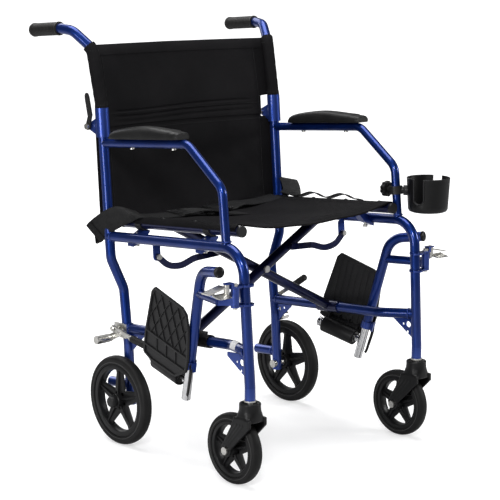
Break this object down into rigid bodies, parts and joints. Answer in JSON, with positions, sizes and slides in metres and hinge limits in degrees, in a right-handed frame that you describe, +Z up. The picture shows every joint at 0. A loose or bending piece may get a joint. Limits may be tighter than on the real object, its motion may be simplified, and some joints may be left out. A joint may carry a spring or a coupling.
{
  "type": "transport wheelchair",
  "caption": "Folding transport wheelchair with sling seat, fold-down back, flip-up swing-away footrests, small wheels, casters and a cup holder.",
  "frame": {"origin": "on the floor, at the middle of the chair's footprint with the frame open, back up and footrests swung away", "axes": "+X to the occupant's left, -Y forward, +Z up"},
  "size_m": [0.7066, 0.7, 0.9292],
  "materials": {
    "paint": "gloss royal blue powder coat",
    "dark_paint": "satin dark blue powder coat",
    "steel": "zinc plated",
    "chrome": "polished",
    "fabric": "woven nylon",
    "webbing": "ribbed webbing",
    "plastic": "moulded, matte",
    "pad": "self-skinned foam",
    "grip": "textured",
    "tyre": "solid tyre"
  },
  "bodies": {
    "right_frame": {"right_side_frame": "paint", "right_arm_pad": "pad", "right_seat_saddles": "plastic", "right_hardware": "steel", "right_lock_plate": "steel", "right_straps": "webbing"},
    "right_back": {"right_back_cane": "paint", "right_push_grip": "grip"},
    "right_back_lever": {"right_back_release_lever": "plastic"},
    "right_back_panel_lower": {"right_back_panel_lower": "fabric"},
    "right_back_panel_upper": {"right_back_panel_upper": "fabric"},
    "right_link": {"right_fold_link": "dark_paint"},
    "right_rear_wheel": {"right_rear_rim": "plastic", "right_rear_tyre": "tyre"},
    "right_caster": {"right_caster_fork": "plastic", "right_caster_axle": "steel"},
    "right_caster_wheel": {"right_caster_rim": "plastic", "right_caster_tyre": "tyre"},
    "right_hanger": {"right_footrest_hanger": "paint"},
    "right_extension": {"right_footrest_extension": "chrome"},
    "right_footplate": {"right_footplate": "plastic"},
    "right_latch": {"right_footrest_latch": "steel"},
    "right_lock_lever": {"right_lock_lever": "steel"},
    "right_lock_shoe": {"right_lock_shoe": "steel"},
    "left_frame": {"left_side_frame": "paint", "left_arm_pad": "pad", "left_seat_saddles": "plastic", "left_hardware": "steel", "left_lock_plate": "steel", "left_straps": "webbing", "cup_holder": "plastic", "cup_holder_clamp": "plastic"},
    "left_back": {"left_back_cane": "paint", "left_push_grip": "grip"},
    "left_back_lever": {"left_back_release_lever": "plastic"},
    "left_back_panel_lower": {"left_back_panel_lower": "fabric"},
    "left_back_panel_upper": {"left_back_panel_upper": "fabric"},
    "left_link": {"left_fold_link": "dark_paint"},
    "left_rear_wheel": {"left_rear_rim": "plastic", "left_rear_tyre": "tyre"},
    "left_caster": {"left_caster_fork": "plastic", "left_caster_axle": "steel"},
    "left_caster_wheel": {"left_caster_rim": "plastic", "left_caster_tyre": "tyre"},
    "left_hanger": {"left_footrest_hanger": "paint"},
    "left_extension": {"left_footrest_extension": "chrome"},
    "left_footplate": {"left_footplate": "plastic"},
    "left_latch": {"left_footrest_latch": "steel"},
    "left_lock_lever": {"left_lock_lever": "steel"},
    "left_lock_shoe": {"left_lock_shoe": "steel"},
    "brace_front": {"brace_front": "dark_paint", "brace_bolt": "steel", "left_seat_rail_caps": "plastic", "left_seat_sling": "fabric", "left_lap_belt": "webbing"},
    "brace_rear": {"brace_rear": "dark_paint", "right_seat_rail_caps": "plastic", "right_seat_sling": "fabric", "right_lap_belt": "webbing"},
    "cup_knob": {"cup_holder_knob": "plastic"}
  },
  "joints": [
    {"name": "frame_fold", "type": "hinge", "parent": "right_frame", "child": "brace_front", "pos_m": [-0.225, -0.084, 0.2706], "axis": [0, -0.9976, 0.0698], "range_deg": [0, 40]},
    {"name": "brace_cross", "type": "hinge", "parent": "brace_front", "child": "brace_rear", "pos_m": [0, -0.07572, 0.38902], "axis": [0, -0.9976, 0.0698], "range_deg": [-80, 0], "deforming": ["right_seat_sling", "left_seat_sling"]},
    {"name": "left_frame_fold", "type": "hinge", "parent": "brace_rear", "child": "left_frame", "pos_m": [0.225, -0.084, 0.2706], "axis": [0, -0.9976, 0.0698], "range_deg": [0, 40]},
    {"name": "right_link_swing", "type": "hinge", "parent": "right_frame", "child": "right_link", "pos_m": [-0.241, -0.01907, 0.43747], "axis": [0, -0.9976, 0.0698], "range_deg": [0, 65.37]},
    {"name": "left_link_swing", "type": "hinge", "parent": "left_frame", "child": "left_link", "pos_m": [0.241, -0.09957, 0.4431], "axis": [0, -0.9976, 0.0698], "range_deg": [-65.37, 0]},
    {"name": "back_lower_fold", "type": "hinge", "parent": "right_frame", "child": "right_back_panel_lower", "pos_m": [-0.256, 0.14084, 0.6], "axis": [0, 0.0746, 0.9972], "range_deg": [0, 54.23], "deforming": ["right_back_panel_lower", "left_back_panel_lower"]},
    {"name": "back_lower_crease", "type": "hinge", "parent": "right_back_panel_lower", "child": "left_back_panel_lower", "pos_m": [0, 0.16857, 0.59793], "axis": [0, 0.0746, 0.9972], "range_deg": [-108.47, 0]},
    {"name": "back_upper_fold", "type": "hinge", "parent": "right_back", "child": "right_back_panel_upper", "pos_m": [-0.256, 0.15505, 0.79], "axis": [0, 0.0746, 0.9972], "range_deg": [0, 54.23], "deforming": ["right_back_panel_upper", "left_back_panel_upper"]},
    {"name": "back_upper_crease", "type": "hinge", "parent": "right_back_panel_upper", "child": "left_back_panel_upper", "pos_m": [0, 0.18278, 0.78793], "axis": [0, 0.0746, 0.9972], "range_deg": [-108.47, 0]},
    {"name": "back_fold", "type": "hinge", "parent": "right_frame", "child": "right_back", "pos_m": [-0.256, 0.178, 0.704], "axis": [1, 0, 0], "range_deg": [-165, 0]},
    {"name": "left_back_fold", "type": "hinge", "parent": "left_frame", "child": "left_back", "pos_m": [0.256, 0.178, 0.704], "axis": [1, 0, 0], "range_deg": [-165, 0]},
    {"name": "right_back_release", "type": "hinge", "parent": "right_frame", "child": "right_back_lever", "pos_m": [-0.256, 0.178, 0.704], "axis": [1, 0, 0], "range_deg": [-22, 0]},
    {"name": "right_rear_wheel_spin", "type": "hinge", "parent": "right_frame", "child": "right_rear_wheel", "pos_m": [-0.257, 0.099, 0.1], "axis": [1, 0, 0], "continuous": true},
    {"name": "right_caster_swivel", "type": "hinge", "parent": "right_frame", "child": "right_caster", "pos_m": [-0.252, -0.321, 0.182], "axis": [0, 0, 1], "continuous": true},
    {"name": "right_caster_spin", "type": "hinge", "parent": "right_caster", "child": "right_caster_wheel", "pos_m": [-0.252, -0.274, 0.075], "axis": [1, 0, 0], "continuous": true},
    {"name": "right_hanger_swing", "type": "hinge", "parent": "right_frame", "child": "right_hanger", "pos_m": [-0.285, -0.313, 0.403], "axis": [0, 0, -1], "range_deg": [-195, 0]},
    {"name": "right_extension_slide", "type": "slide", "parent": "right_hanger", "child": "right_extension", "axis": [0.0683, 0.2549, -0.9646], "range_m": [0, 0.06]},
    {"name": "right_footplate_flip", "type": "hinge", "parent": "right_extension", "child": "right_footplate", "pos_m": [-0.26648, -0.08735, 0.20936], "axis": [0.0086, 0.9666, 0.256], "range_deg": [-90, 0]},
    {"name": "right_latch_turn", "type": "hinge", "parent": "right_frame", "child": "right_latch", "pos_m": [-0.305, -0.31, 0.415], "axis": [0, 0, 1], "range_deg": [0, 20]},
    {"name": "right_lock_lever_turn", "type": "hinge", "parent": "right_frame", "child": "right_lock_lever", "pos_m": [-0.24, 0.131, 0.256], "axis": [1, 0, 0], "range_deg": [-42, 0]},
    {"name": "right_lock_shoe_turn", "type": "hinge", "parent": "right_frame", "child": "right_lock_shoe", "pos_m": [-0.24, 0.107, 0.252], "axis": [1, 0, 0], "range_deg": [-39.86, 0]},
    {"name": "left_back_release", "type": "hinge", "parent": "left_frame", "child": "left_back_lever", "pos_m": [0.256, 0.178, 0.704], "axis": [1, 0, 0], "range_deg": [-22, 0]},
    {"name": "left_rear_wheel_spin", "type": "hinge", "parent": "left_frame", "child": "left_rear_wheel", "pos_m": [0.257, 0.099, 0.1], "axis": [1, 0, 0], "continuous": true},
    {"name": "left_caster_swivel", "type": "hinge", "parent": "left_frame", "child": "left_caster", "pos_m": [0.252, -0.321, 0.182], "axis": [0, 0, 1], "continuous": true},
    {"name": "left_caster_spin", "type": "hinge", "parent": "left_caster", "child": "left_caster_wheel", "pos_m": [0.252, -0.274, 0.075], "axis": [1, 0, 0], "continuous": true},
    {"name": "left_hanger_swing", "type": "hinge", "parent": "left_frame", "child": "left_hanger", "pos_m": [0.285, -0.313, 0.403], "axis": [0, 0, 1], "range_deg": [-197, 0]},
    {"name": "left_extension_slide", "type": "slide", "parent": "left_hanger", "child": "left_extension", "axis": [-0.0771, 0.2523, -0.9646], "range_m": [0, 0.06]},
    {"name": "left_footplate_flip", "type": "hinge", "parent": "left_extension", "child": "left_footplate", "pos_m": [0.24726, -0.08989, 0.20981], "axis": [0.2316, -0.9364, -0.2635], "range_deg": [-90, 0]},
    {"name": "left_latch_turn", "type": "hinge", "parent": "left_frame", "child": "left_latch", "pos_m": [0.305, -0.31, 0.415], "axis": [0, 0, -1], "range_deg": [0, 20]},
    {"name": "left_lock_lever_turn", "type": "hinge", "parent": "left_frame", "child": "left_lock_lever", "pos_m": [0.24, 0.131, 0.256], "axis": [1, 0, 0], "range_deg": [0, 42]},
    {"name": "left_lock_shoe_turn", "type": "hinge", "parent": "left_frame", "child": "left_lock_shoe", "pos_m": [0.24, 0.107, 0.252], "axis": [1, 0, 0], "range_deg": [0, 39.86]},
    {"name": "cup_knob_turn", "type": "hinge", "parent": "left_frame", "child": "cup_knob", "pos_m": [0.256, -0.2195, 0.5575], "axis": [0, -1, 0], "continuous": true}
  ],
  "couplings": [
    {"joint": "brace_cross", "follows": "frame_fold", "ratio": -2},
    {"joint": "left_frame_fold", "follows": "frame_fold", "ratio": 1},
    {"joint": "right_link_swing", "follows": "frame_fold", "ratio": 1.6343},
    {"joint": "left_link_swing", "follows": "frame_fold", "ratio": -1.6343},
    {"joint": "back_lower_fold", "follows": "frame_fold", "ratio": 1.3559},
    {"joint": "back_lower_crease", "follows": "frame_fold", "ratio": -2.7117},
    {"joint": "back_upper_fold", "follows": "frame_fold", "ratio": 1.3559},
    {"joint": "back_upper_crease", "follows": "frame_fold", "ratio": -2.7117},
    {"joint": "left_back_fold", "follows": "back_fold", "ratio": 1},
    {"joint": "right_lock_shoe_turn", "follows": "right_lock_lever_turn", "ratio": 0.9488},
    {"joint": "left_lock_shoe_turn", "follows": "left_lock_lever_turn", "ratio": 0.9488}
  ]
}
